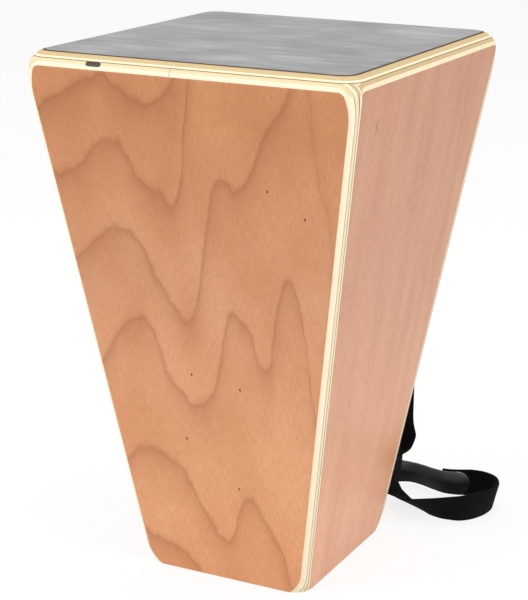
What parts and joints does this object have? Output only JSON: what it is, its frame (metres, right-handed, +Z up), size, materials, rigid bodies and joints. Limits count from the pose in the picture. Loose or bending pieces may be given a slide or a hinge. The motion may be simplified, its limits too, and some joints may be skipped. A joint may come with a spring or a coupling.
{
  "type": "conga cajon",
  "caption": "Tapered, open-bottomed plywood box drum with a film-faced playing plate on top and a carrying strap held on turned buttons at its back.",
  "frame": {"origin": "centre of the base, on the floor that the drum stands on", "axes": "+Z up, -Y out of the front panel, +X to the right as one faces the front panel"},
  "size_m": [0.337, 0.3798, 0.5],
  "materials": {
    "beech_plywood": "satin lacquered beech veneer on pale plies",
    "film_faced_plywood": "satin dark film on plywood",
    "spruce": "planed, unfinished",
    "black_steel": "black, satin",
    "black_felt": "pressed felt",
    "black_leather": "smooth black leather with a pale cut edge",
    "black_webbing": "woven black webbing"
  },
  "bodies": {
    "root": {"front_panel": "beech_plywood", "back_panel": "beech_plywood", "left_panel": "beech_plywood", "right_panel": "beech_plywood", "playing_plate": "film_faced_plywood", "front_left_corner_strip": "spruce", "front_right_corner_strip": "spruce", "back_left_corner_strip": "spruce", "back_right_corner_strip": "spruce", "front_ledge_strip": "spruce", "back_ledge_strip": "spruce", "left_ledge_strip": "spruce", "right_ledge_strip": "spruce", "upper_backing_block": "spruce", "lower_backing_block": "spruce", "upper_strap_button": "black_steel", "lower_strap_button": "black_steel", "upper_button_screw": "black_steel", "lower_button_screw": "black_steel", "upper_felt_washer": "black_felt", "lower_felt_washer": "black_felt", "strap_webbing": "black_webbing"},
    "upper_strap_end": {"upper_strap_tab": "black_leather"},
    "lower_strap_end": {"lower_strap_tab": "black_leather"}
  },
  "joints": [
    {"name": "upper_tab_turn", "type": "hinge", "parent": "root", "child": "upper_strap_end", "pos_m": [0.072, 0.15987, 0.43], "axis": [0, 0.9876, -0.157], "range_deg": [-30, 30], "deforming": ["strap_webbing"]},
    {"name": "lower_tab_turn", "type": "hinge", "parent": "root", "child": "lower_strap_end", "pos_m": [0, 0.09866, 0.045], "axis": [0, 0.9876, -0.157], "range_deg": [-30, 0], "deforming": ["strap_webbing", "lower_strap_tab"]}
  ]
}
